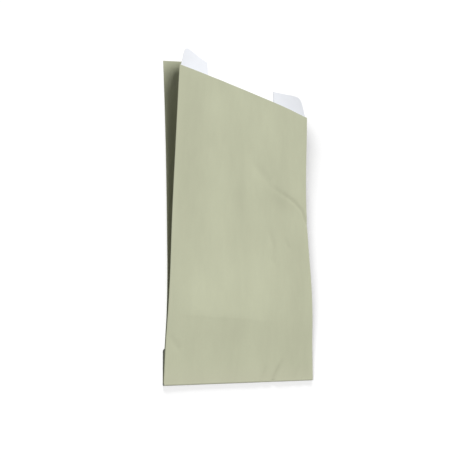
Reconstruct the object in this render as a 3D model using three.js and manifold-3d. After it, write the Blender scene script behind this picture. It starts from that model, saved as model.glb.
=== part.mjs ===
// Side gusset paper bag, folded flat as it is supplied, with its mouth sprung a little open.
// It lies on its back panel: +X across the width, +Y towards the mouth, +Z up out of the front panel.
// Millimetres, with the origin on the floor under the middle of the bag.

import * as THREE from 'three';
import * as BufferGeometryUtils from 'three/addons/utils/BufferGeometryUtils.js';
import Module from 'manifold-3d';

// Flat sizes of the bag
const bagWidth = 170;
const bagLength = 320;
const gussetDepth = 45;
const frontLip = 27;
const lipSlant = 8;
const bottomFlap = 30;
const flapCornerRadius = 2.5;

// Paper and the spacing of its folded layers
const paperWall = 0.3;
const layerPitch = 0.56;

// How far the paper has sprung open
const mouthOpening = 37;
const pressedLength = 50;
const openingPower = 1.35;
const gussetFoldShare = 0.4;
const gussetSlack = 0.25;
const frontCrown = 1.6;

// Fineness of the mesh
const rowCount = 26;
const foldSegments = 4;
const frontSegments = 14;
const backSegments = 8;
const gussetFrontSegments = 9;
const gussetBackSegments = 4;
const cornerSegments = 5;
const weldDistance = 1e-4;
const turnSegments = 12;

const paperColour = 0xbabca4;

// Height squared of a shallow arc, as a share of its chord times the length that it has to spare
const shallowArcFactor = 3 / 8;

const halfWidth = bagWidth / 2 - paperWall / 2;
const foldRadius = layerPitch / 2;
const layersBetween = 3;
const pressedGap = layersBetween * layerPitch;
const flapHeight = paperWall / 2;
const frontStart = flapHeight + layerPitch + pressedGap;
const mouthHeight = flapHeight + mouthOpening;
const panelDepth = gussetDepth - 2 * foldRadius;
const seamStep = paperWall / 8;
const turnRadius = (frontStart - seamStep - flapHeight) / 2;
const tubeStart = paperWall / 2 + turnRadius + layerPitch;

const wasm = await Module();
wasm.setup();

// How far up the bag a place is, from 0 at the closed bottom to 1 at the mouth.
function shareUp(along) {
  return (along - tubeStart) / (bagLength - tubeStart);
}

// The front panel rises in a straight line from the bottom fold to the mouth.
function frontHeight(along) {
  return frontStart + (mouthHeight - frontStart) * shareUp(along);
}

// The panels stay pressed together near the bottom and part towards the mouth.
function panelGap(along) {
  const share = Math.max(0, (along - pressedLength) / (bagLength - pressedLength));
  return pressedGap + (mouthOpening - pressedGap) * share ** openingPower;
}

// Half circle of a fold, from the layer below to the one above; side is +1 where it bulges to +X.
function foldArc(centreX, centreZ, side, cut, tip) {
  const points = [];
  for (let step = 1; step < foldSegments; step += 1) {
    const angle = Math.PI * step / foldSegments - Math.PI / 2;
    const x = centreX + side * foldRadius * Math.cos(angle);
    const z = centreZ + foldRadius * Math.sin(angle);
    const isTip = step === foldSegments / 2;
    points.push({ x, z, cut, tip: isTip ? tip : undefined });
  }
  return points;
}

// Shares along the front half of a gusset, with one at the end of the slanted cut.
function gussetShares() {
  const slantShare = lipSlant / panelDepth;
  const shares = [0, slantShare / 2, slantShare];
  const rest = gussetFrontSegments - 2;
  for (let step = 1; step <= rest; step += 1) {
    shares.push(slantShare + (1 - slantShare) * step / rest);
  }
  return shares;
}

// How far a strip of paper bows between two folds that are nearer to each other than it is long.
function bowHeight(chord, paperLength) {
  return Math.sqrt(shallowArcFactor * chord * Math.max(0, paperLength - chord));
}

// One side of the section, from the back panel's edge up and round to the front panel's edge.
function sideSection(along) {
  const front = frontHeight(along);
  const gap = panelGap(along);
  const back = front - gap;
  const spread = gap - pressedGap;
  const edgeX = halfWidth - foldRadius;
  const drop = gussetFoldShare * spread;
  const climb = spread - drop;
  const reach = Math.sqrt(panelDepth ** 2 - climb ** 2);
  const innerX = edgeX - reach;
  const foldZ = back + 3 * foldRadius + climb;
  const points = [{ x: edgeX, z: back, cut: 0 }];
  points.push(...foldArc(edgeX, back + foldRadius, 1, 0, 'backEdge'));
  for (let step = 0; step <= gussetBackSegments; step += 1) {
    const share = step / gussetBackSegments;
    points.push({ x: edgeX - reach * share, z: back + 2 * foldRadius + climb * share, cut: 0 });
  }
  points.push(...foldArc(innerX, foldZ, -1, 0, 'gussetFold'));
  const chord = Math.hypot(reach, drop);
  const sag = gussetSlack * bowHeight(chord, panelDepth);
  gussetShares().reverse().forEach((share) => {
    const sink = sag * Math.sin(Math.PI * share);
    const x = edgeX - reach * share - sink * drop / chord;
    const z = front - 2 * foldRadius - drop * share - sink * reach / chord;
    const cut = Math.max(0, 1 - share * panelDepth / lipSlant);
    points.push({ x, z, cut });
  });
  points.push(...foldArc(edgeX, front - foldRadius, 1, 1, 'frontEdge'));
  points.push({ x: edgeX, z: front, cut: 1 });
  return points;
}

// The whole section of the tube at one place along the bag, anticlockwise seen along +Y.
function tubeSection(along) {
  const right = sideSection(along);
  const left = right.map(({ x, z, cut, tip }) => ({ x: -x, z, cut, tip })).reverse();
  const edgeX = halfWidth - foldRadius;
  const front = [];
  for (let step = 1; step < frontSegments; step += 1) {
    const across = 2 * step / frontSegments - 1;
    const crown = frontCrown * shareUp(along) * Math.cos(Math.PI * across / 2);
    front.push({ x: -edgeX * across, z: frontHeight(along) + crown, cut: 1 });
  }
  const back = [];
  for (let step = 1; step < backSegments; step += 1) {
    const across = 2 * step / backSegments - 1;
    back.push({ x: edgeX * across, z: frontHeight(along) - panelGap(along), cut: 0 });
  }
  return [...back, ...right, ...front, ...left];
}

// A section moved out or in by half the wall.
function offsetSection(section, distance) {
  const count = section.length;
  return section.map((point, index) => {
    const before = section[(index + count - 1) % count];
    const after = section[(index + 1) % count];
    const tangent = new THREE.Vector2(after.x - before.x, after.z - before.z).normalize();
    return new THREE.Vector2(point.x + distance * tangent.y, point.z - distance * tangent.x);
  });
}

// One skin of the tube as a grid of points, rows from the bottom to the cut edge of the mouth.
function skinGrid(distance, start) {
  const cuts = tubeSection(start).map(({ cut }) => cut);
  const rows = [];
  for (let row = 0; row <= rowCount; row += 1) {
    const points = cuts.map((cut, column) => {
      const top = bagLength - frontLip * cut;
      const along = start + (top - start) * row / rowCount;
      const place = offsetSection(tubeSection(along), distance)[column];
      return new THREE.Vector3(place.x, along - bagLength / 2, place.y);
    });
    rows.push(points);
  }
  return rows;
}

// Triangles between two chains of columns that both run from the right edge to the left one.
function zipChains(upper, lower, xOf) {
  const triangles = [];
  let high = 0;
  let low = 0;
  while (high < upper.length - 1 || low < lower.length - 1) {
    const nextHigh = high < upper.length - 1 ? xOf(upper[high + 1]) : -Infinity;
    const nextLow = low < lower.length - 1 ? xOf(lower[low + 1]) : -Infinity;
    if (nextHigh >= nextLow) {
      triangles.push([upper[high], upper[high + 1], lower[low]]);
      high += 1;
    } else {
      triangles.push([upper[high], lower[low + 1], lower[low]]);
      low += 1;
    }
  }
  const hasArea = ([a, b, c]) => a !== b && b !== c && c !== a;
  return triangles.filter(hasArea);
}

// The closed end of the section: the layers over the gusset folds and the layers under them.
function endTriangles(section) {
  const count = section.length;
  const tips = section.flatMap(({ tip }, index) => (tip ? [index] : []));
  const [backRight, foldRight, frontRight, frontLeft, foldLeft, backLeft] = tips;
  const run = (from, to, step) => {
    const indices = [from];
    while (indices[indices.length - 1] !== to) {
      indices.push((indices[indices.length - 1] + step + count) % count);
    }
    return indices;
  };
  const xOf = (index) => section[index].x;
  const overFolds = [...run(frontRight, foldRight, -1), ...run(foldLeft, frontLeft, -1)];
  const underFolds = [...run(backRight, foldRight, 1), ...run(foldLeft, backLeft, 1)];
  return [
    ...zipChains(run(frontRight, frontLeft, 1), overFolds, xOf),
    ...zipChains(underFolds, run(backRight, backLeft, -1), xOf),
  ];
}

// The folded tube: outer and inner skins, the cut edge between them and the closed bottom.
function tubeGeometry() {
  const outer = skinGrid(paperWall / 2, tubeStart);
  const inner = skinGrid(-paperWall / 2, tubeStart + paperWall);
  const columns = outer[0].length;
  const vertices = [...outer.flat(), ...inner.flat()];
  const innerStart = (rowCount + 1) * columns;
  const outerAt = (row, column) => row * columns + column % columns;
  const innerAt = (row, column) => innerStart + row * columns + column % columns;
  const triangles = [];
  const quad = (a, b, c, d) => triangles.push([a, c, b], [a, d, c]);
  for (let row = 0; row < rowCount; row += 1) {
    for (let column = 0; column < columns; column += 1) {
      quad(outerAt(row, column), outerAt(row, column + 1), outerAt(row + 1, column + 1), outerAt(row + 1, column));
      quad(innerAt(row, column), innerAt(row + 1, column), innerAt(row + 1, column + 1), innerAt(row, column + 1));
    }
  }
  for (let column = 0; column < columns; column += 1) {
    quad(
      outerAt(rowCount, column),
      outerAt(rowCount, column + 1),
      innerAt(rowCount, column + 1),
      innerAt(rowCount, column),
    );
  }
  endTriangles(tubeSection(tubeStart)).forEach(([a, b, c]) => {
    triangles.push([outerAt(0, a), outerAt(0, b), outerAt(0, c)]);
    triangles.push([innerAt(0, a), innerAt(0, c), innerAt(0, b)]);
  });
  const geometry = new THREE.BufferGeometry().setFromPoints(vertices);
  geometry.setIndex(triangles.flat());
  return geometry;
}

// The front panel's tail in side view: out of the closed end, round the bottom fold and flat under the bag.
function flapProfile() {
  const centreY = paperWall / 2 + turnRadius;
  const centreZ = flapHeight + turnRadius;
  const outer = turnRadius + paperWall / 2;
  const inner = turnRadius - paperWall / 2;
  const seamEnd = tubeStart + paperWall / 2;
  const profile = new THREE.Shape();
  profile.moveTo(bottomFlap, 0);
  profile.lineTo(bottomFlap, paperWall);
  profile.lineTo(centreY, paperWall);
  profile.absarc(centreY, centreZ, inner, -Math.PI / 2, Math.PI / 2, true);
  profile.lineTo(seamEnd, centreZ + inner);
  profile.lineTo(seamEnd, centreZ + outer);
  profile.lineTo(centreY, centreZ + outer);
  profile.absarc(centreY, centreZ, outer, Math.PI / 2, -Math.PI / 2, false);
  profile.closePath();
  return profile;
}

function flapGeometry() {
  const width = 2 * (halfWidth - foldRadius);
  const settings = { depth: width, bevelEnabled: false, curveSegments: turnSegments };
  const geometry = new THREE.ExtrudeGeometry(flapProfile(), settings);
  const basis = new THREE.Matrix4().makeBasis(
    new THREE.Vector3(0, 1, 0),
    new THREE.Vector3(0, 0, 1),
    new THREE.Vector3(1, 0, 0),
  );
  geometry.applyMatrix4(basis);
  geometry.translate(-width / 2, -bagLength / 2, 0);
  return geometry;
}

// Plan of the flap with its two free corners rounded, cut from the full width.
function flapTrimGeometry() {
  const width = halfWidth - foldRadius;
  const margin = 2 * frontStart;
  const top = bottomFlap - bagLength / 2;
  const plan = new THREE.Shape();
  plan.moveTo(-width, -bagLength / 2 - margin);
  plan.lineTo(width, -bagLength / 2 - margin);
  plan.lineTo(width, top - flapCornerRadius);
  plan.absarc(width - flapCornerRadius, top - flapCornerRadius, flapCornerRadius, 0, Math.PI / 2, false);
  plan.lineTo(-width + flapCornerRadius, top);
  plan.absarc(-width + flapCornerRadius, top - flapCornerRadius, flapCornerRadius, Math.PI / 2, Math.PI, false);
  plan.closePath();
  const settings = { depth: frontStart + 2 * margin, bevelEnabled: false, curveSegments: cornerSegments };
  const geometry = new THREE.ExtrudeGeometry(plan, settings);
  geometry.translate(0, 0, -margin);
  return geometry;
}

function solidFrom(geometry) {
  geometry.deleteAttribute('normal');
  geometry.deleteAttribute('uv');
  const merged = BufferGeometryUtils.mergeVertices(geometry, weldDistance);
  const vertProperties = new Float32Array(merged.attributes.position.array);
  const triVerts = new Uint32Array(merged.index.array);
  return new wasm.Manifold(new wasm.Mesh({ numProp: 3, vertProperties, triVerts }));
}

function geometryFrom(solid) {
  const mesh = solid.getMesh();
  const geometry = new THREE.BufferGeometry();
  geometry.setAttribute('position', new THREE.BufferAttribute(mesh.vertProperties, mesh.numProp));
  geometry.setIndex(new THREE.BufferAttribute(mesh.triVerts, 1));
  geometry.computeVertexNormals();
  return geometry;
}

function paperBag() {
  const flap = solidFrom(flapGeometry()).intersect(solidFrom(flapTrimGeometry()));
  const bag = solidFrom(tubeGeometry()).add(flap);
  const paper = new THREE.MeshStandardMaterial({ color: paperColour, roughness: 0.8, metalness: 0 });
  const mesh = new THREE.Mesh(geometryFrom(bag), paper);
  mesh.name = 'paper_bag';
  return mesh;
}

const bag = new THREE.Group();
bag.add(paperBag());

export default bag;
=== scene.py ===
"""Look of a side gusset paper bag that lies folded flat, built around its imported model.

The bag is one sheet of paper. Its folded section is lofted along the length as two skins of a thin
wall, finished with a Geometry Nodes tree that gives the paper its slack, and dressed with procedural
materials.
"""

import math

import bpy
import bmesh
import numpy as np
from mathutils import Matrix, Vector


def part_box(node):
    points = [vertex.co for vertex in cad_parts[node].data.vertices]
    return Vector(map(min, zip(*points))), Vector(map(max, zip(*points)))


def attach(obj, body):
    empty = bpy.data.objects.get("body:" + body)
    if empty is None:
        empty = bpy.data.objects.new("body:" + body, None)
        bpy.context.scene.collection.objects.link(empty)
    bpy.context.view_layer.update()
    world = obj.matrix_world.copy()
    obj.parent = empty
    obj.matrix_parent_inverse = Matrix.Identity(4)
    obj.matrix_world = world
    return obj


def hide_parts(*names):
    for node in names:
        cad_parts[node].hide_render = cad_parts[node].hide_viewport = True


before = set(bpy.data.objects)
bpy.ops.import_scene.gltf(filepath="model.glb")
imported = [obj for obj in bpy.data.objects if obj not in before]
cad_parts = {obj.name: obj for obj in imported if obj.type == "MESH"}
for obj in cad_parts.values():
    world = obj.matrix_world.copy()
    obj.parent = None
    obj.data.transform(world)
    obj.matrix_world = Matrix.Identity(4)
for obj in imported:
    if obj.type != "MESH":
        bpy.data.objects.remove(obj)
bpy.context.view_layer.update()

bl_info = {
    "name": "Folded paper bag",
    "version": (1, 0, 0),
    "blender": (4, 5, 0),
    "location": "3D View > Sidebar > Paper bag",
    "description": "Builds a side gusset paper bag, folded flat, and the stage it lies on",
    "category": "Add Mesh",
}

NODE = "paper_bag"
BODY = "root"

low, high = (Vector(corner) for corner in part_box(NODE))
MILLIMETRE = 0.001
OUTSIDE, INSIDE, CUT_EDGE = 0, 1, 2

# How the paper has sprung open, as in the solid: the power by which the gap grows towards the mouth,
# the share of it over the gusset's fold, how much of its slack the gusset's upper half takes as sag,
# the factor for the height of a shallow arc, and how far the front panel's middle rises at the mouth
OPENING_POWER = 1.35
FOLD_SHARE = 0.4
GUSSET_SLACK = 0.25
SHALLOW_ARC = 3 / 8
CROWN = 1.6 * MILLIMETRE

# Where the paper lies pressed, the front panel is this many layers over the back panel
PRESSED_LAYERS = 3

# The lengthwise glued seam on the back: place of its two edges across the bag, its step, the width and
# steepness of each edge, and the columns beside an edge in shares of that width
SEAM_EDGES = (0.010, 0.024)
SEAM_STEP = 0.00013
SEAM_BLEND = 0.0006
SEAM_STEEPNESS = 2
SEAM_COLUMNS = (-1.0, -0.3, 0.3, 1.0)

# The cut of each tab: where it is half way up, as a share of the slant in the solid, how steep it is,
# and the stretch that has close columns, in slants
TAB_MIDDLE = 0.59
TAB_POWER = 3.0
TAB_STRETCH = 2

# Where the right edge has dipped: its middle along the bag, reach along and across it, depth, and the
# largest share of the panels' spread that it may take
DIP_MIDDLE = 0.195
DIP_LENGTH = 0.080
DIP_WIDTH = 0.022
DIP_DEPTH = 0.0050
DIP_LIMIT = 0.6

# Where the front panel stands a little higher than a straight line: middle, reach and height, the share
# of it by which the back panel lifts too, its start as a share of the bottom flap, and the stretch over
# which it comes in
SWELL_MIDDLE = 0.082
SWELL_LENGTH = 0.046
SWELL_HEIGHT = 0.0020
SWELL_LIFT = 0.5
SWELL_START = 0.5
SWELL_RAMP = 0.050

# Room left between the front panel and the layer under it, beside the paper itself
LAYER_CLEARANCE = 0.00006

# Where the soft waves show: the spread of the panels at which they are full, how steeply they grow
# inward from the folded edges, their least share on the front panel, and their share on the back panel
WAVE_SPREAD = 4 * MILLIMETRE
WAVE_INWARD = 6
WAVE_LEAST = 0.25
WAVE_BACK = 0.4

# The soft waves themselves: factors of the place along each axis, detail and roughness
WAVE_STRETCH = (1.0, 0.62, 0.0)
WAVE_DETAIL = 2.0
WAVE_ROUGHNESS = 0.45

# Faces that meet at more than this angle, in degrees, are shaded as an edge
SHARP_ANGLE = 50.0

# Columns across each part of the folded section, and rows along the bag. A fold has an even number of
# steps, so that a column lies on its tip. The front panel's columns crowd a little towards its edges.
FRONT_COLUMNS = 112
FRONT_CROWDING = 0.08
BACK_COLUMNS = 30
FRONT_HALF_COLUMNS = 25
SLANT_COLUMNS = 16
BACK_HALF_COLUMNS = 10
FOLD_COLUMNS = 6
ROWS = 170
STATIONS = 640

# The bottom flap: steps round its bend and along its flat, columns across it, and radius of its corners
FLAP_ARC_STEPS = 14
FLAP_FLAT_STEPS = 6
FLAP_COLUMNS = 72
FLAP_CORNER = 2.5 * MILLIMETRE


class BagSizes(bpy.types.PropertyGroup):
    """Sizes of the folded bag, the same driving dimensions as its solid."""

    width: bpy.props.FloatProperty(
        name="Width", description="Width of the front panel", default=high.x - low.x, unit="LENGTH")
    length: bpy.props.FloatProperty(
        name="Length", description="Length from the bottom fold to the back panel's edge",
        default=high.y - low.y, unit="LENGTH")
    gusset: bpy.props.FloatProperty(
        name="Gusset", description="Depth of each half of a gusset", default=0.045, unit="LENGTH")
    lip: bpy.props.FloatProperty(
        name="Front lip", description="How much lower the front panel is cut",
        default=0.027, unit="LENGTH")
    slant: bpy.props.FloatProperty(
        name="Lip slant", description="Width of the slanted cut on each tab",
        default=0.008, unit="LENGTH")
    flap: bpy.props.FloatProperty(
        name="Bottom flap", description="Height of the bottom end folded under",
        default=0.030, unit="LENGTH")
    opening: bpy.props.FloatProperty(
        name="Mouth opening", description="Gap between the front and back panels at the mouth",
        default=0.037, unit="LENGTH")
    pressed: bpy.props.FloatProperty(
        name="Pressed length", description="Stretch at the bottom where the layers lie together",
        default=0.050, unit="LENGTH")
    pitch: bpy.props.FloatProperty(
        name="Layer pitch", description="Distance between pressed layers",
        default=0.00056, unit="LENGTH")
    solid_wall: bpy.props.FloatProperty(
        name="Wall of the solid", description="Wall that the solid model uses",
        default=0.0003, unit="LENGTH")
    wall: bpy.props.FloatProperty(
        name="Paper", description="Thickness of the paper", default=0.00016, unit="LENGTH")
    slack: bpy.props.FloatProperty(
        name="Slack", description="Height of the paper's soft waves",
        default=0.00045, unit="LENGTH")
    wave: bpy.props.FloatProperty(
        name="Wave length", description="Length of the paper's soft waves",
        default=0.045, unit="LENGTH")
    seed: bpy.props.IntProperty(
        name="Seed", description="Seed of the soft waves", default=7)


class BagColours(bpy.types.PropertyGroup):
    """Colours of the paper."""

    outside: bpy.props.FloatVectorProperty(
        name="Outside", description="Sage green outside of the paper",
        subtype="COLOR", size=3, default=(0.490, 0.501, 0.354))
    # The light end of the outside's colour, reached where the paper is paler at random and where light
    # is painted on
    light: bpy.props.FloatVectorProperty(
        name="Light places", description="Outside of the paper where it is lightest",
        subtype="COLOR", size=3, default=(0.488, 0.506, 0.362))
    warm: bpy.props.FloatVectorProperty(
        name="Bottom fold", description="Outside of the paper along the bottom fold",
        subtype="COLOR", size=3, default=(0.52, 0.515, 0.385))
    inside: bpy.props.FloatVectorProperty(
        name="Inside", description="White inside of the paper",
        subtype="COLOR", size=3, default=(0.86, 0.88, 0.92))
    cut: bpy.props.FloatVectorProperty(
        name="Cut edge", description="Edge of the paper where it was cut",
        subtype="COLOR", size=3, default=(0.47, 0.48, 0.37))


class Socket:
    """A node's output with the arithmetic operators, each of which adds the Math node it names."""

    def __init__(self, tree, socket):
        self.tree = tree
        self.socket = socket

    def math(self, operation, *others):
        return self.tree.node("ShaderNodeMath", {"operation": operation}, (self, *others))

    def __add__(self, other):
        return self.math("ADD", other)

    def __radd__(self, other):
        return self.math("ADD", other)

    def __sub__(self, other):
        return self.math("SUBTRACT", other)

    def __rsub__(self, other):
        return self.tree.node("ShaderNodeMath", {"operation": "SUBTRACT"}, (other, self))

    def __mul__(self, other):
        return self.math("MULTIPLY", other)

    def __rmul__(self, other):
        return self.math("MULTIPLY", other)

    def __truediv__(self, other):
        return self.math("DIVIDE", other)

    def clamp(self):
        """The value held between 0 and 1."""
        return self.tree.node("ShaderNodeClamp", {}, (self, 0.0, 1.0))


class Tree:
    """A node tree with one method for every node: its type, its settings and its inputs."""

    def __init__(self, node_tree):
        self.nodes = node_tree.nodes
        self.links = node_tree.links
        self.nodes.clear()

    def add(self, kind, settings, inputs):
        """A new node, whose inputs are linked to sockets or set to values."""
        node = self.nodes.new(kind)
        for name, value in settings.items():
            setattr(node, name, value)
        pairs = inputs.items() if isinstance(inputs, dict) else enumerate(inputs)
        for key, value in pairs:
            if isinstance(value, Socket):
                self.links.new(value.socket, node.inputs[key])
            else:
                node.inputs[key].default_value = value
        return node

    def node(self, kind, settings, inputs, output=0):
        """One output of a new node, ready for arithmetic."""
        return Socket(self, self.add(kind, settings, inputs).outputs[output])

    def noise(self, place, scale, detail, roughness):
        inputs = {"Vector": place, "Scale": scale, "Detail": detail, "Roughness": roughness}
        return self.node("ShaderNodeTexNoise", {}, inputs, "Fac")

    def scaled(self, place, factors):
        return self.node("ShaderNodeVectorMath", {"operation": "MULTIPLY"}, (place, factors))

    def smooth(self, value, start, end):
        """Rises softly from 0 at the start to 1 at the end, or falls where the end comes first."""
        settings = {"interpolation_type": "SMOOTHSTEP"}
        inputs = {"Value": value, "From Min": start, "From Max": end}
        return self.node("ShaderNodeMapRange", settings, inputs, "Result")

    def ranged(self, value, lowest, highest):
        """A value from 0 to 1 spread over another range."""
        inputs = {"Value": value, "To Min": lowest, "To Max": highest}
        return self.node("ShaderNodeMapRange", {}, inputs, "Result")

    def tint(self, factor, first, second):
        """Goes from the first colour to the second as the factor rises."""
        settings = {"data_type": "RGBA", "blend_type": "MIX"}
        inputs = {0: factor, 6: first, 7: second}
        return self.node("ShaderNodeMix", settings, inputs, 2)


def opaque(colour, gain=1.0):
    """A colour with its alpha, lighter or darker by a gain."""
    return (*(channel * gain for channel in colour), 1.0)


class Fold:
    """Where every point of the folded tube lies, from the bag's sizes. Lengths are in metres."""

    def __init__(self, sizes):
        self.sizes = sizes
        self.radius = sizes.pitch / 2
        self.half = sizes.width / 2 - sizes.solid_wall / 2
        self.edge = self.half - self.radius
        self.pressed_gap = PRESSED_LAYERS * sizes.pitch
        self.flap_height = sizes.solid_wall / 2
        self.front_start = self.flap_height + sizes.pitch + self.pressed_gap
        self.mouth_height = self.flap_height + sizes.opening
        self.depth = sizes.gusset - 2 * self.radius
        self.turn = (self.front_start - self.flap_height) / 2
        self.start = sizes.solid_wall / 2 + self.turn + sizes.pitch

    def share_up(self, along):
        """Share of the way from the bottom fold to the mouth."""
        return (along - self.start) / (self.sizes.length - self.start)

    def swell(self, along):
        """How far the front panel stands over a straight line."""
        rise = SWELL_HEIGHT * math.exp(-((along - SWELL_MIDDLE) / SWELL_LENGTH) ** 2)
        return rise * float(eased((along - self.sizes.flap * SWELL_START) / SWELL_RAMP))

    def front(self, along):
        """Height of the front panel, without its creases."""
        straight = self.front_start + (self.mouth_height - self.front_start) * self.share_up(along)
        return straight + self.swell(along)

    def gap(self, along):
        """Distance from the back panel up to the front panel."""
        sizes = self.sizes
        share = max(0.0, (along - sizes.pressed) / (sizes.length - sizes.pressed))
        opened = (sizes.opening - self.pressed_gap) * share ** OPENING_POWER
        return self.pressed_gap + opened + (1 - SWELL_LIFT) * self.swell(along)

    def gusset(self, gap):
        """How far a gusset's fold lies under the front panel, over the back panel and inwards."""
        spread = gap - self.pressed_gap
        drop = FOLD_SHARE * spread
        climb = spread - drop
        return drop, climb, math.sqrt(self.depth ** 2 - climb ** 2)


# Creases pressed into the front panel as valleys: their corners in shares of the width, across from the
# left edge and up from the bottom fold, then depth and half width in millimetres
CREASES = (
    (((0.594, 1.166), (0.705, 1.134), (0.790, 1.113), (0.880, 1.090), (0.954, 1.054), (0.976, 1.000),
      (1.020, 0.925)), 0.90, 2.5),
    (((0.480, 1.290), (0.573, 1.232), (0.670, 1.165)), 0.55, 6.0),
    (((0.620, 0.930), (0.687, 0.767), (0.668, 0.650)), 0.40, 3.6),
    (((0.770, 0.850), (0.820, 0.770)), 0.30, 3.0),
    (((0.000, 0.250), (0.080, 0.160)), 0.35, 2.6),
    (((0.765, 0.132), (0.695, 0.021), (0.672, -0.020)), 0.90, 2.3),
    (((0.650, 0.104), (0.605, 0.023), (0.585, -0.020)), 0.45, 2.3),
    (((0.893, 0.112), (0.858, 0.034), (0.835, -0.020)), 0.34, 2.4),
    (((0.960, 0.130), (0.925, -0.020)), 0.28, 2.6),
)

# Shares of its length over which a crease fades in and out
FADE_IN = 0.55
FADE_OUT = 0.12

# Painted shade on the upper side of each crease: how dark it is, for each millimetre of the crease's
# depth
CREASE_SHADES = (0.05, 0.05, 0.08, 0.08, 0.06, 0.15, 0.12, 0.10, 0.10)


# The print of a layer beneath, a low step across the front panel: its place up the bag, where it starts
# and ends across it and how far it fades in and out there, all in shares of the width, then half its
# height and how soft it is
IMPRINT_PLACE = 0.335
IMPRINT_START = 0.06
IMPRINT_END = 0.60
IMPRINT_FADE_IN = 0.08
IMPRINT_FADE_OUT = 0.20
IMPRINT_HEIGHT = 0.17 * MILLIMETRE
IMPRINT_SOFTNESS = 2.2 * MILLIMETRE


def eased(value):
    """The value held between 0 and 1, with a soft start and a soft end."""
    share = np.clip(value, 0, 1)
    return share * share * (3 - 2 * share)


def valley(across, up, crease, width):
    """Depth of one crease at the given places, fading out towards both of its ends."""
    points, depth, spread = crease
    corners = np.array(points) * width
    steps = np.diff(corners, axis=0)
    lengths = np.hypot(steps[:, 0], steps[:, 1])
    nearest = np.full(across.shape, np.inf)
    run = np.zeros(across.shape)
    before = 0.0
    for corner, step, length in zip(corners, steps, lengths):
        ahead = ((across - corner[0]) * step[0] + (up - corner[1]) * step[1]) / length
        ahead = np.clip(ahead, 0, length)
        off_across = across - corner[0] - step[0] * ahead / length
        off_up = up - corner[1] - step[1] * ahead / length
        off = np.hypot(off_across, off_up)
        run = np.where(off < nearest, before + ahead, run)
        nearest = np.minimum(off, nearest)
        before += length
    fade = eased(run / (FADE_IN * before)) * eased((before - run) / (FADE_OUT * before))
    return -depth * MILLIMETRE * fade * np.exp(-(nearest / (spread * MILLIMETRE)) ** 2)


def front_relief(across, up, width):
    """Height that the creases and the imprint add to the front panel; places are arrays in metres."""
    relief = sum(valley(across, up, crease, width) for crease in CREASES)
    fade_in = np.clip((across / width - IMPRINT_START) / IMPRINT_FADE_IN, 0, 1)
    fade_out = np.clip((IMPRINT_END - across / width) / IMPRINT_FADE_OUT, 0, 1)
    step = np.tanh((up - IMPRINT_PLACE * width) / IMPRINT_SOFTNESS)
    return relief + IMPRINT_HEIGHT * (fade_in * fade_out) * step


# Painted light and shade on the front panel: broad lighter and darker places that stand for the shading
# where the paper bulges or hollows, and last a painted highlight along its left edge: middle and reach
# in shares of the width, across and up, then lightness
PAINTED_LIGHT_AND_SHADE = (
    ((0.28, 0.970), (0.11, 0.52), 0.070),
    ((0.23, 1.570), (0.11, 0.15), 0.060),
    ((0.65, 1.550), (0.10, 0.15), 0.030),
    ((0.52, 1.200), (0.06, 0.20), 0.040),
    ((0.18, 0.440), (0.15, 0.20), 0.065),
    ((0.50, 0.560), (0.24, 0.26), 0.040),
    ((0.08, 1.100), (0.13, 0.52), -0.050),
    ((0.44, 1.000), (0.05, 0.26), -0.055),
    ((0.90, 0.680), (0.18, 0.44), -0.085),
    ((0.80, 1.070), (0.19, 0.08), -0.085),
    ((0.36, 0.235), (0.34, 0.12), -0.030),
    ((0.90, 0.160), (0.24, 0.24), -0.060),
    ((0.00, 0.980), (0.012, 0.90), 0.080),
)


# How steeply a broad place of painted light or shade fades from its middle, how far a crease's painted
# shade lies from it across and up, and the stretch over which all this comes in above the bottom fold,
# in shares of the width
TONE_FALL = 1.6
SHADE_ACROSS = 0.006
SHADE_UP = 0.016
TONE_FADE = 0.03


def painted_panel_shading(across, up, width):
    """Painted light and shade: the lightness that the broad places and the shaded sides of the creases
    add to the front panel's colour.
    """
    tone = np.zeros_like(across)
    for (middle_x, middle_y), (reach_x, reach_y), value in PAINTED_LIGHT_AND_SHADE:
        off = ((across / width - middle_x) / reach_x) ** 2 + ((up / width - middle_y) / reach_y) ** 2
        tone += value * np.exp(-TONE_FALL * off)
    shaded = (across - SHADE_ACROSS * width, up - SHADE_UP * width)
    for crease, shade in zip(CREASES, CREASE_SHADES):
        tone += shade * valley(*shaded, crease, width) / MILLIMETRE
    return tone * eased(up / (TONE_FADE * width))


def back_columns(edge):
    """Places across the back panel, with more of them at both edges of the seam."""
    even = np.linspace(-edge, edge, BACK_COLUMNS + 1)[1:-1]
    beside = [place + offset * SEAM_BLEND for place in SEAM_EDGES for offset in SEAM_COLUMNS]
    return np.sort(np.concatenate((even, beside)))


def seam_relief(x, room):
    """How far the glued overlap stands out of the back panel, given the room over the floor."""
    step = min(SEAM_STEP, room)
    first, last = (np.tanh((x - edge) / SEAM_BLEND * SEAM_STEEPNESS) for edge in SEAM_EDGES)
    return step * (first - last) / 2


def edge_dip(fold, along):
    """How far the right edge has dipped at one place along the bag, without its crease."""
    spread = fold.gap(along) - fold.pressed_gap
    dip = DIP_DEPTH * math.exp(-((along - DIP_MIDDLE) / DIP_LENGTH) ** 2)
    return min(dip, DIP_LIMIT * spread)


def layer_room(fold, x, gap, dip):
    """How far the front panel may sink at each place before it meets the layer under it."""
    rooms = []
    for side, side_gap in ((1, gap - dip), (-1, gap)):
        drop, _, reach = fold.gusset(side_gap)
        share = (fold.edge - side * x) / reach
        over_gusset = gap - side_gap + 2 * fold.radius + drop * share
        rooms.append(np.where(share < 1, over_gusset, gap))
    return np.minimum(*rooms) - fold.sizes.wall - LAYER_CLEARANCE


def run_of(x, z, cut, soft):
    """Columns of a straight or curved run of the section."""
    return np.stack(np.broadcast_arrays(x, z, cut, soft, 0.0, 0.0), axis=1)


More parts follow.
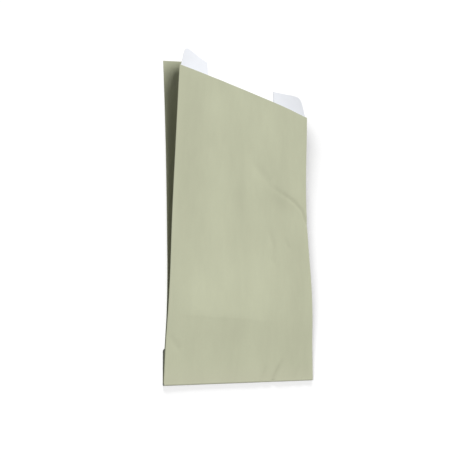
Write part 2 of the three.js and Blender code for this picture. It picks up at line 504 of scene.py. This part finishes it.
def arc_of(fold, centre_x, centre_z, side, cut):
    """Columns of a fold, a half circle whose middle is marked as its tip."""
    angles = np.pi * (np.arange(1, FOLD_COLUMNS) / FOLD_COLUMNS - 0.5)
    x = centre_x + side * fold.radius * np.cos(angles)
    z = centre_z + fold.radius * np.sin(angles)
    tip = (angles == 0).astype(float)
    return np.stack(np.broadcast_arrays(x, z, cut, 0.0, tip, 0.0), axis=1)


def tab_cut(distance, slant):
    """Share of the front lip that is cut away at a distance from the front fold, in one soft curve."""
    return 1 / (1 + (distance / (TAB_MIDDLE * slant)) ** TAB_POWER)


def side_section(fold, back, gap, room):
    """Right side of the section, from the back panel's edge up and round to the front panel's edge."""
    front = back + gap
    drop, climb, reach = fold.gusset(gap)
    chord = math.hypot(reach, drop)
    sag = GUSSET_SLACK * math.sqrt(SHALLOW_ARC * chord * max(0.0, fold.depth - chord))
    lower_share = np.linspace(0, 1, BACK_HALF_COLUMNS + 1)
    lower_half = run_of(
        fold.edge - reach * lower_share, back + 2 * fold.radius + climb * lower_share, 0.0,
        np.sin(np.pi * lower_share) * room)
    slant = TAB_STRETCH * fold.sizes.slant / fold.depth
    near = np.linspace(0, slant, SLANT_COLUMNS + 1)
    far = np.linspace(slant, 1, FRONT_HALF_COLUMNS - SLANT_COLUMNS + 1)[1:]
    upper_share = np.concatenate((near, far))[::-1]
    sink = sag * np.sin(np.pi * upper_share)
    upper_half = run_of(
        fold.edge - reach * upper_share - sink * drop / chord,
        front - 2 * fold.radius - drop * upper_share - sink * reach / chord,
        tab_cut(upper_share * fold.depth, fold.sizes.slant),
        np.sin(np.pi * upper_share) * room)
    return np.concatenate((
        run_of(np.array((fold.edge,)), back, 0.0, 0.0),
        arc_of(fold, fold.edge, back + fold.radius, 1, 0.0),
        lower_half,
        arc_of(fold, fold.edge - reach, back + 3 * fold.radius + climb, -1, 0.0),
        upper_half,
        arc_of(fold, fold.edge, front - fold.radius, 1, 1.0),
        run_of(np.array((fold.edge,)), front, 1.0, 0.0)))


def build_section(fold, along):
    """The folded section at one place along the bag, anticlockwise seen along +Y.

    Returns columns of x, z, cut share, softness, a mark on the tip of each fold, and tone, which is the
    painted light and shade of the front panel.
    """
    sizes = fold.sizes
    gap = fold.gap(along)
    front = fold.front(along)
    back = front - gap
    dip = edge_dip(fold, along)
    edge = np.array((sizes.width,))
    notch = dip - float(front_relief(edge, np.full_like(edge, along), sizes.width)[0])
    notch = min(notch, DIP_LIMIT * (gap - fold.pressed_gap))
    room = min(1.0, (gap - fold.pressed_gap) / WAVE_SPREAD)
    right = side_section(fold, back, gap - notch, room)
    left = side_section(fold, back, gap, room)[::-1] * np.array((-1, 1, 1, 1, 1, 1))
    across = np.linspace(1, -1, FRONT_COLUMNS + 1)[1:-1]
    across = np.sin(across * np.pi / 2) * FRONT_CROWDING + across * (1 - FRONT_CROWDING)
    x = fold.edge * across
    place = (x + sizes.width / 2, np.full_like(x, along), sizes.width)
    relief = front_relief(*place) - dip * np.exp(-(fold.edge * (1 - across) / DIP_WIDTH) ** 2)
    relief = np.maximum(relief, -layer_room(fold, x, gap, notch))
    relief += CROWN * fold.share_up(along) * np.cos(np.pi * across / 2)
    inward = np.clip((1 - np.abs(across)) * WAVE_INWARD, 0, 1)
    top = run_of(x, front + relief, 1.0, inward * min(1.0, WAVE_LEAST + room))
    # The front panel's painted light and shade, which the outside material turns into colour
    top[:, 5] = painted_panel_shading(*place)
    base_x = back_columns(fold.edge)
    inward = np.clip((1 - np.abs(base_x) / fold.edge) * WAVE_INWARD, 0, 1)
    floor_room = back - sizes.wall / 2
    seam = seam_relief(base_x, floor_room)
    soft = np.minimum(inward * room * WAVE_BACK, (floor_room - seam) / sizes.slack)
    base = run_of(base_x, back - seam, 0.0, soft)
    return np.concatenate((base, right, top, left))


def section_field(fold):
    """Sections at many places along the bag: their columns, and the outward direction at each point."""
    stations = np.linspace(fold.start, fold.sizes.length, STATIONS)
    sections = np.stack([build_section(fold, along) for along in stations])
    places = sections[:, :, :2]
    tangent = np.roll(places, -1, axis=1) - np.roll(places, 1, axis=1)
    tangent /= np.linalg.norm(tangent, axis=2)[:, :, None]
    return np.concatenate((sections, tangent[:, :, 1:], -tangent[:, :, :1]), axis=2)


def skin_rows(fold, field, distance, start):
    """One skin of the tube: rows of points, with the outward direction, softness and tone of each."""
    sizes = fold.sizes
    cuts = field[0, :, 2]
    tops = sizes.length - sizes.lip * cuts
    along = start + (tops - start) * np.linspace(0, 1, ROWS + 1)[:, None]
    station = (along - fold.start) / (sizes.length - fold.start) * (STATIONS - 1)
    before = np.clip(station.astype(int), 0, STATIONS - 2)
    share = (station - before)[:, :, None]
    column = np.arange(len(cuts))
    values = field[before, column] * (1 - share) + field[before + 1, column] * share
    outward = np.stack((values[:, :, 6], np.zeros_like(along), values[:, :, 7]), axis=2)
    points = np.stack((values[:, :, 0], along - sizes.length / 2, values[:, :, 1]), axis=2)
    return points + distance * outward, outward, values[:, :, 3], values[:, :, 5]


def grid_faces(rows, columns, offset, flip):
    """Quads of a skin that closes round on itself, as index rows."""
    row, column = np.meshgrid(np.arange(rows), np.arange(columns), indexing="ij")
    after = (column + 1) % columns
    a = offset + row * columns + column
    b = offset + row * columns + after
    c = offset + (row + 1) * columns + after
    d = offset + (row + 1) * columns + column
    quads = (a, d, c, b) if flip else (a, b, c, d)
    return np.stack(quads, axis=-1).reshape(-1, 4)


def mesh_object(name, vertices, faces, materials, skins):
    """A smooth mesh whose faces take the materials that the skins number."""
    mesh = bpy.data.meshes.new(name)
    mesh.from_pydata([tuple(v) for v in vertices], [], [tuple(int(i) for i in f) for f in faces])
    for material in materials:
        mesh.materials.append(material)
    mesh.polygons.foreach_set("material_index", np.asarray(skins, dtype=np.int32))
    mesh.polygons.foreach_set("use_smooth", np.ones(len(skins), dtype=bool))
    mesh.update()
    made = bpy.data.objects.new(name, mesh)
    bpy.context.collection.objects.link(made)
    return made


def cap_faces(section):
    """Strips between the layers that close the bottom end, as index triples of one section."""
    count = len(section)
    tips = np.flatnonzero(section[:, 4])
    back_right, fold_right, front_right, front_left, fold_left, back_left = tips

    def steps(start_index, end_index, step):
        """Indices from one column to another, round the section."""
        indices = [start_index]
        while indices[-1] != end_index:
            indices.append((indices[-1] + step) % count)
        return indices

    def zipped(upper, lower):
        """Triangles between two rows of columns that run the same way."""
        faces = []
        high = low = 0
        while high < len(upper) - 1 or low < len(lower) - 1:
            next_high = section[upper[high + 1], 0] if high < len(upper) - 1 else -math.inf
            next_low = section[lower[low + 1], 0] if low < len(lower) - 1 else -math.inf
            if next_high >= next_low:
                faces.append((upper[high], upper[high + 1], lower[low]))
                high += 1
            else:
                faces.append((upper[high], lower[low + 1], lower[low]))
                low += 1
        return [face for face in faces if len(set(face)) == 3]

    over = steps(front_right, fold_right, -1) + steps(fold_left, front_left, -1)
    under = steps(back_right, fold_right, 1) + steps(fold_left, back_left, 1)
    faces = zipped(steps(front_right, front_left, 1), over)
    faces += zipped(under, steps(back_right, back_left, -1))
    return faces


def tube_object(fold, materials):
    """The folded tube as one closed mesh of two skins, the cut mouth and the closed bottom."""
    wall = fold.sizes.wall
    field = section_field(fold)
    outer, out_dirs, out_soft, out_tone = skin_rows(fold, field, wall / 2, fold.start)
    inner, in_dirs, in_soft, in_tone = skin_rows(fold, field, -wall / 2, fold.start + wall)
    count = outer.shape[1]
    stride = outer.shape[0] * count
    vertices = np.concatenate((outer.reshape(-1, 3), inner.reshape(-1, 3)))
    faces = [tuple(face) for face in grid_faces(ROWS, count, 0, True)]
    skins = [OUTSIDE] * len(faces)
    faces += [tuple(face) for face in grid_faces(ROWS, count, stride, False)]
    skins += [INSIDE] * (len(faces) - len(skins))
    rim = ROWS * count
    for column in range(count):
        after = (column + 1) % count
        faces.append((rim + column, stride + rim + column, stride + rim + after, rim + after))
        skins.append(CUT_EDGE)
    for a, b, c in cap_faces(field[0]):
        faces.append((a, b, c))
        faces.append((stride + a, stride + c, stride + b))
        skins += [OUTSIDE, INSIDE]
    made = mesh_object("paper_tube", vertices, faces, materials, skins)
    mark_paper(made, (out_dirs, in_dirs), (out_soft, in_soft), (out_tone, in_tone))
    return made


def mark_paper(made, outward, soft, tone):
    """Stores at each point what the waves and the materials need; each argument is a list of arrays."""
    layers = (("out", "FLOAT_VECTOR", "vector", outward), ("soft", "FLOAT", "value", soft),
              ("tone", "FLOAT", "value", tone))
    for name, kind, field, parts in layers:
        values = np.concatenate([np.ravel(part) for part in parts])
        layer = made.data.attributes.new(name, kind, "POINT")
        layer.data.foreach_set(field, values.astype(np.float32))


def flap_object(fold, materials):
    """The front panel's tail, round the bottom fold and flat under the bag, as a closed strip."""
    sizes = fold.sizes
    wall = sizes.wall
    top = fold.front_start
    turn = fold.turn
    centre = (wall / 2 + turn, fold.flap_height + turn)
    path = [(fold.start + wall / 2, top)]
    for step in range(FLAP_ARC_STEPS + 1):
        angle = math.pi / 2 + math.pi * step / FLAP_ARC_STEPS
        path.append((centre[0] + turn * math.cos(angle), centre[1] + turn * math.sin(angle)))
    flat_end = sizes.flap - FLAP_CORNER
    for step in range(1, FLAP_FLAT_STEPS + 1):
        path.append((centre[0] + (flat_end - centre[0]) * step / FLAP_FLAT_STEPS, fold.flap_height))
    for step in range(1, FLAP_ARC_STEPS // 2 + 1):
        angle = math.pi * step / FLAP_ARC_STEPS
        path.append((flat_end + FLAP_CORNER * math.sin(angle), fold.flap_height))
    path = np.array(path)
    tangent = np.gradient(path, axis=0)
    tangent /= np.linalg.norm(tangent, axis=1)[:, None]
    outward = np.stack((tangent[:, 1], -tangent[:, 0]), axis=1)
    across = np.linspace(-1, 1, FLAP_COLUMNS + 1)
    vertices = []
    for distance in (wall / 2, -wall / 2):
        for index in range(len(path)):
            place = path[index] + distance * outward[index]
            inset = min(FLAP_CORNER, max(0.0, place[0] - flat_end))
            half = fold.edge - FLAP_CORNER + math.sqrt(max(0.0, FLAP_CORNER ** 2 - inset ** 2))
            lift = (place[1] - fold.flap_height) / (top - fold.flap_height)
            places = across * half + sizes.width / 2
            relief = front_relief(places, np.full_like(across, place[0]), sizes.width)
            for share, dent in zip(across, relief * min(1.0, max(0.0, lift))):
                vertices.append((share * half, place[0] - sizes.length / 2, place[1] + dent))
    rows, columns = len(path), len(across)
    stride = rows * columns
    faces, skins = [], []
    for row in range(rows - 1):
        for column in range(columns - 1):
            a = row * columns + column
            b, c, d = a + 1, a + columns + 1, a + columns
            faces.append((a, b, c, d))
            faces.append((stride + a, stride + d, stride + c, stride + b))
            skins += [OUTSIDE, INSIDE]
    border = [(0, column) for column in range(columns)]
    border += [(row, columns - 1) for row in range(1, rows)]
    border += [(rows - 1, column) for column in range(columns - 2, -1, -1)]
    border += [(row, 0) for row in range(rows - 2, 0, -1)]
    loop = [row * columns + column for row, column in border]
    for index, start in enumerate(loop):
        end = loop[(index + 1) % len(loop)]
        faces.append((end, start, stride + start, stride + end))
        skins.append(CUT_EDGE)
    made = mesh_object("paper_flap", vertices, faces, materials, skins)
    recalculate(made)
    flat = np.zeros(len(vertices))
    mark_paper(made, (np.tile((0.0, 0.0, -1.0), (len(vertices), 1)),), (flat,), (flat,))
    return made


def recalculate(made):
    """Turns every face of a closed mesh outwards."""
    mesh = bmesh.new()
    mesh.from_mesh(made.data)
    bmesh.ops.recalc_face_normals(mesh, faces=mesh.faces)
    mesh.to_mesh(made.data)
    mesh.free()


def slack_tree(materials):
    """Geometry Nodes tree: soft waves along the paper's own outward direction, then its materials."""
    tree = bpy.data.node_groups.new("Paper slack", "GeometryNodeTree")
    sockets = tree.interface
    sockets.new_socket("Geometry", in_out="INPUT", socket_type="NodeSocketGeometry")
    for name in ("Slack", "Waves per metre", "Seed"):
        sockets.new_socket(name, in_out="INPUT", socket_type="NodeSocketFloat")
    sockets.new_socket("Geometry", in_out="OUTPUT", socket_type="NodeSocketGeometry")
    shape = Tree(tree)
    given = shape.nodes.new("NodeGroupInput")
    geometry, slack, waves, seed = (Socket(shape, given.outputs[index]) for index in range(4))
    place = shape.node("GeometryNodeInputPosition", {}, ())
    inputs = {"Vector": shape.scaled(place, WAVE_STRETCH), "W": seed, "Scale": waves,
              "Detail": WAVE_DETAIL, "Roughness": WAVE_ROUGHNESS}
    wave = shape.node("ShaderNodeTexNoise", {"noise_dimensions": "4D"}, inputs)
    soft, outward = (
        shape.node("GeometryNodeInputNamedAttribute", {"data_type": kind}, {"Name": name})
        for kind, name in (("FLOAT", "soft"), ("FLOAT_VECTOR", "out")))
    height = (wave - 0.5) * 2.0 * slack * soft
    offset = shape.node("ShaderNodeVectorMath", {"operation": "SCALE"}, {0: outward, 3: height})
    moved = shape.node("GeometryNodeSetPosition", {}, {"Geometry": geometry, "Offset": offset})
    result = shape.node("GeometryNodeRealizeInstances", {}, {"Geometry": moved})
    index = shape.node("GeometryNodeInputMaterialIndex", {}, ())
    for number, material in enumerate(materials):
        chosen = shape.node(
            "FunctionNodeCompare", {"data_type": "INT", "operation": "EQUAL"}, {2: index, 3: number})
        inputs = {"Geometry": result, "Selection": chosen, "Material": material}
        result = shape.node("GeometryNodeSetMaterial", {}, inputs)
    output = shape.nodes.new("NodeGroupOutput")
    shape.links.new(result.socket, output.inputs[0])
    return tree


def apply_slack(made, sizes, materials):
    """Runs the slack tree on an object and keeps its result as a plain mesh."""
    modifier = made.modifiers.new("Slack", "NODES")
    modifier.node_group = slack_tree(materials)
    values = {"Slack": sizes.slack, "Waves per metre": 1 / sizes.wave, "Seed": float(sizes.seed)}
    for item in modifier.node_group.interface.items_tree:
        if item.in_out == "INPUT" and item.name in values:
            modifier[item.identifier] = values[item.name]
    graph = bpy.context.evaluated_depsgraph_get()
    result = bpy.data.meshes.new_from_object(made.evaluated_get(graph))
    made.modifiers.clear()
    made.data = result
    made.data.set_sharp_from_angle(angle=math.radians(SHARP_ANGLE))


def join(first, second, name):
    """Two objects made one."""
    bpy.ops.object.select_all(action="DESELECT")
    first.select_set(True)
    second.select_set(True)
    bpy.context.view_layer.objects.active = first
    bpy.ops.object.join()
    first.name = name
    first.data.name = name
    return first


def new_material(name):
    """A material and its empty node tree."""
    material = bpy.data.materials.new(name)
    material.use_nodes = True
    return material, Tree(material.node_tree)


def finish_surface(tree, inputs):
    """Ends a material's tree with its one shader."""
    shader = tree.node("ShaderNodeBsdfPrincipled", {}, inputs, "BSDF")
    tree.add("ShaderNodeOutputMaterial", {}, {"Surface": shader})


def object_place(tree):
    """Place in the bag's own frame, in metres."""
    return tree.node("ShaderNodeTexCoord", {}, (), "Object")


# Noises of the paper: waves per metre, detail and roughness
FIBRE = (1900.0, 4.0, 0.6)
STREAK = (900.0, 3.0, 0.5)
COCKLE = (150.0, 3.0, 0.55)
CLOUD = (30.0, 4.0, 0.55)
BAND = (150.0, 3.0, 0.55)
MOTTLE = (420.0, 4.0, 0.6)
SPECK = (1400.0, 2.0, 0.5)
INSIDE_CLOUD = (60.0, 3.0, 0.5)
FRAY = (2400.0, 2.0, 0.6)

# Factors that draw out a noise along the bag
STREAK_STRETCH = (1.0, 0.06, 1.0)
CLOUD_STRETCH = (1.0, 0.45, 1.0)
BAND_STRETCH = (1.0, 0.22, 1.0)

# Shares of the three noises in the fine relief, and its height in metres
FIBRE_SHARE = 0.25
STREAK_SHARE = 0.2
COCKLE_SHARE = 0.55
BUMP_HEIGHT = 0.0004

# How much each part adds to the outside's tone, the first two being painted light and shade and the
# rest random tone, how strongly the tone turns into colour, and the gains of the darkest and the
# lightest colour
PAINTED_SHADING_TONE = 0.85
ABOVE_TONE = 0.040
CLOUD_TONE = 0.16
BAND_TONE = 0.07
MOTTLE_TONE = 0.05
SPECK_TONE = 0.05
TONE_GAIN = 2.5
DARKEST = 0.80
LIGHTEST = 1.20

# Where specks show in their noise
SPECK_RANGE = (0.70, 0.80)

# Painted light: the lighter place above the imprint, in shares of the width: how far the clouds move
# its lower border, and where it fades in and out, up and across the bag
ABOVE_WANDER = 0.02
ABOVE_BORDER = (0.326, 0.345)
ABOVE_TOP = (0.75, 0.35)
ABOVE_LEFT = (0.05, 0.16)
ABOVE_RIGHT = (0.72, 0.55)

# The warmer stretch along the bottom fold: its range up the bag, in shares of the width, and how much
# of the warm colour it takes
WARM_RANGE = (0.12, 0.0)
WARM_SHARE = 0.35

# Range of roughness, specular level and strength of the fine relief, outside and inside
OUTSIDE_FINISH = ((0.66, 0.84), 0.32, 0.35)
INSIDE_FINISH = ((0.70, 0.85), 0.3, 0.3)

# Gains of the darkest and the lightest colour inside and on the cut edge, and the cut edge's finish
INSIDE_GAINS = (0.96, 1.03)
CUT_GAINS = (0.85, 1.15)
CUT_ROUGHNESS = 0.9
CUT_SPECULAR = 0.2


def paper_bump(tree, place, strength):
    """Fine fibre, cockle and the faint lengthwise streaks of machine made paper."""
    fibre = tree.noise(place, *FIBRE)
    streak = tree.noise(tree.scaled(place, STREAK_STRETCH), *STREAK)
    cockle = tree.noise(place, *COCKLE)
    height = fibre * FIBRE_SHARE + streak * STREAK_SHARE + cockle * COCKLE_SHARE
    inputs = {"Strength": strength, "Distance": BUMP_HEIGHT, "Height": height}
    return tree.node("ShaderNodeBump", {}, inputs, "Normal")


def finish_paper(tree, place, colour, grain, finish):
    """Matt paper of a colour, whose roughness follows a noise."""
    rough, specular, relief = finish
    finish_surface(tree, {
        "Base Color": colour, "Roughness": tree.ranged(grain, *rough), "Specular IOR Level": specular,
        "Normal": paper_bump(tree, place, relief)})


def outside_material(colours, sizes):
    """Sage green outside: mottled, with painted light where it bulges and painted shade on its right,
    warmer at the bottom.
    """
    material, tree = new_material("paper_outside")
    place = object_place(tree)
    split = tree.add("ShaderNodeSeparateXYZ", {}, (place,))
    across = Socket(tree, split.outputs[0]) / sizes.width + 0.5
    up = Socket(tree, split.outputs[1]) / sizes.width + 0.5 * sizes.length / sizes.width
    cloud = tree.noise(tree.scaled(place, CLOUD_STRETCH), *CLOUD)
    band = tree.noise(tree.scaled(place, BAND_STRETCH), *BAND)
    mottle = tree.noise(place, *MOTTLE)
    speck = tree.smooth(tree.noise(place, *SPECK), *SPECK_RANGE)
    # Painted light and shade of the front panel, read from its points
    painted_shading = tree.node("ShaderNodeAttribute", {"attribute_name": "tone"}, (), "Fac")
    # Painted light above the imprint
    border = tree.smooth(up + (cloud - 0.5) * ABOVE_WANDER, *ABOVE_BORDER)
    above = border * tree.smooth(across, *ABOVE_LEFT) * tree.smooth(across, *ABOVE_RIGHT)
    above = above * tree.smooth(up, *ABOVE_TOP)
    tone = painted_shading * PAINTED_SHADING_TONE + above * ABOVE_TONE + (cloud - 0.5) * CLOUD_TONE
    tone = tone + (band - 0.5) * BAND_TONE + (mottle - 0.5) * MOTTLE_TONE - speck * SPECK_TONE
    gain = (tone * TONE_GAIN + 0.5).clamp()
    colour = tree.tint(gain, opaque(colours.outside, DARKEST), opaque(colours.light, LIGHTEST))
    warm = tree.smooth(up, *WARM_RANGE) * WARM_SHARE
    colour = tree.tint(warm, colour, opaque(colours.warm))
    finish_paper(tree, place, colour, mottle, OUTSIDE_FINISH)
    return material


def inside_material(colours):
    """White, uncoated inside."""
    material, tree = new_material("paper_inside")
    place = object_place(tree)
    cloud = tree.noise(place, *INSIDE_CLOUD)
    colour = tree.tint(cloud, *(opaque(colours.inside, gain) for gain in INSIDE_GAINS))
    finish_paper(tree, place, colour, cloud, INSIDE_FINISH)
    return material


def cut_material(colours):
    """Cut edge, a little frayed between white and green."""
    material, tree = new_material("paper_cut_edge")
    place = object_place(tree)
    fray = tree.noise(place, *FRAY)
    colour = tree.tint(fray, *(opaque(colours.cut, gain) for gain in CUT_GAINS))
    finish_surface(tree, {
        "Base Color": colour, "Roughness": CUT_ROUGHNESS, "Specular IOR Level": CUT_SPECULAR})
    return material


class BAG_OT_paper(bpy.types.Operator):
    """Builds the folded paper bag and lets it stand for its solid"""

    bl_idname = "bag.paper"
    bl_label = "Paper bag"

    def execute(self, context):
        sizes = context.scene.bag_sizes
        colours = context.scene.bag_colours
        fold = Fold(sizes)
        materials = (outside_material(colours, sizes), inside_material(colours), cut_material(colours))
        tube = tube_object(fold, materials)
        flap = flap_object(fold, materials)
        bag = join(tube, flap, "folded_paper")
        apply_slack(bag, sizes, materials)
        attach(bag, BODY)
        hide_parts(NODE)
        return {"FINISHED"}


# The camera of the photograph, in pixels of its 460 by 460 frame and metres of the bag's frame
IMAGE_SIZE = 460.0
FOCAL_PIXELS = 468.3
PRINCIPAL_POINT = (246.80, 240.85)
SENSOR = 36.0
CAMERA_PLACE = (-0.27073, -0.17028, 0.36116)
CAMERA_RIGHT = (0.79799, -0.05381, 0.60026)
CAMERA_DOWN = (0.14651, -0.94881, -0.27982)
CAMERA_AHEAD = (0.58459, 0.31124, -0.74926)
CLIP_START = 0.01

# The floor: half its side, the white that the camera sees, the share of it that takes no shadow, and
# its dimmer white as a bounce
FLOOR_EXTENT = 6.0
FLOOR_WHITE = 0.98
FLOOR_UNSHADED = 0.36
FLOOR_BOUNCE = 0.40

# Strength of the light from all round
WORLD_STRENGTH = 0.15

# Soft far lights: direction towards each, strength, and angle in degrees
KEY_LIGHT = ((0.24, 0.32, 1.25), 2.85, 42.0)
FLOOR_LIGHT = ((-1.30, 0.04, 0.88), 3.60, 28.0)
FLOOR_FILL = ((-0.15, 1.00, 0.30), 4.0, 24.0)


def add_camera():
    """The photograph's camera, with its place, turn, focal length and shift."""
    data = bpy.data.cameras.new("photo_camera")
    data.sensor_width = SENSOR
    data.lens = FOCAL_PIXELS / IMAGE_SIZE * SENSOR
    data.shift_x = (IMAGE_SIZE / 2 - PRINCIPAL_POINT[0]) / IMAGE_SIZE
    data.shift_y = (PRINCIPAL_POINT[1] - IMAGE_SIZE / 2) / IMAGE_SIZE
    data.clip_start = CLIP_START
    camera = bpy.data.objects.new("photo_camera", data)
    turn = Matrix((CAMERA_RIGHT, -Vector(CAMERA_DOWN), -Vector(CAMERA_AHEAD))).transposed()
    camera.matrix_world = Matrix.Translation(CAMERA_PLACE) @ turn.to_4x4()
    bpy.context.collection.objects.link(camera)
    bpy.context.scene.camera = camera


def floor_material():
    """White floor: pure white to the camera with part of the object's shadow, dimmer as a bounce."""
    material, tree = new_material("floor_white")
    rays = tree.add("ShaderNodeLightPath", {}, ())
    seen = Socket(tree, rays.outputs["Is Camera Ray"])
    dim, matt = (
        tree.node("ShaderNodeBsdfDiffuse", {}, {"Color": opaque((level, level, level))}, "BSDF")
        for level in (FLOOR_BOUNCE, FLOOR_WHITE))
    inputs = {"Color": (1.0, 1.0, 1.0, 1.0), "Strength": 1.0}
    bright = tree.node("ShaderNodeEmission", {}, inputs, "Emission")
    shown = tree.node("ShaderNodeMixShader", {}, {0: FLOOR_UNSHADED, 1: matt, 2: bright}, "Shader")
    mixed = tree.node("ShaderNodeMixShader", {}, {0: seen, 1: dim, 2: shown}, "Shader")
    tree.add("ShaderNodeOutputMaterial", {}, {"Surface": mixed})
    return material


def world_light():
    """A world that is white to look at and in reflections, and a dim even light otherwise."""
    world = bpy.data.worlds.new("studio")
    world.use_nodes = True
    tree = Tree(world.node_tree)
    rays = tree.add("ShaderNodeLightPath", {}, ())
    camera, glossy, through = (
        Socket(tree, rays.outputs[f"Is {kind} Ray"]) for kind in ("Camera", "Glossy", "Transmission"))
    shown = (camera + glossy + through).clamp()
    level = shown * (1.0 - WORLD_STRENGTH) + WORLD_STRENGTH
    inputs = {"Color": (1.0, 1.0, 1.0, 1.0), "Strength": level}
    sky = tree.node("ShaderNodeBackground", {}, inputs, "Background")
    tree.add("ShaderNodeOutputWorld", {}, {"Surface": sky})
    bpy.context.scene.world = world


def add_sun(name, direction, strength, angle, receivers):
    """A soft far light that falls only on the given objects."""
    data = bpy.data.lights.new(name, "SUN")
    data.energy = strength
    data.angle = math.radians(angle)
    lamp = bpy.data.objects.new(name, data)
    lamp.rotation_euler = Vector(direction).to_track_quat("Z", "Y").to_euler()
    bpy.context.collection.objects.link(lamp)
    lit = bpy.data.collections.new(name + "_receivers")
    for receiver in receivers:
        lit.objects.link(receiver)
    lamp.light_linking.receiver_collection = lit


class BAG_OT_stage(bpy.types.Operator):
    """Adds the white floor, the soft studio light and the camera of the photograph"""

    bl_idname = "bag.stage"
    bl_label = "Stage"

    def execute(self, context):
        signs = ((-1, -1), (1, -1), (1, 1), (-1, 1))
        corners = [(x * FLOOR_EXTENT, y * FLOOR_EXTENT, 0) for x, y in signs]
        floor = mesh_object("floor", corners, [(0, 1, 2, 3)], (floor_material(),), [0])
        world_light()
        bag = bpy.data.objects["folded_paper"]
        add_sun("key_light", *KEY_LIGHT, (bag,))
        add_sun("floor_light", *FLOOR_LIGHT, (floor,))
        add_sun("floor_fill", *FLOOR_FILL, (floor,))
        add_camera()
        context.scene.view_settings.view_transform = "Standard"
        return {"FINISHED"}


class BAG_PT_panel(bpy.types.Panel):
    """Shows the bag's sizes and colours, and the buttons that build the bag and its stage"""

    bl_label = "Paper bag"
    bl_idname = "BAG_PT_panel"
    bl_space_type = "VIEW_3D"
    bl_region_type = "UI"
    bl_category = "Paper bag"

    def draw(self, context):
        column = self.layout.column()
        for group in (context.scene.bag_sizes, context.scene.bag_colours):
            for name in group.__annotations__:
                column.prop(group, name)
        for operator in (BAG_OT_paper, BAG_OT_stage):
            column.operator(operator.bl_idname)


CLASSES = (BagSizes, BagColours, BAG_OT_paper, BAG_OT_stage, BAG_PT_panel)


def register():
    """Registers the classes and hangs the sizes and colours on the scene."""
    for entry in CLASSES:
        bpy.utils.register_class(entry)
    bpy.types.Scene.bag_sizes = bpy.props.PointerProperty(type=BagSizes)
    bpy.types.Scene.bag_colours = bpy.props.PointerProperty(type=BagColours)


def unregister():
    """Takes back what register has added."""
    del bpy.types.Scene.bag_colours
    del bpy.types.Scene.bag_sizes
    for entry in reversed(CLASSES):
        bpy.utils.unregister_class(entry)


def main():
    """Builds the bag and its stage."""
    register()
    bpy.ops.bag.paper()
    bpy.ops.bag.stage()


if __name__ == "__main__":
    main()
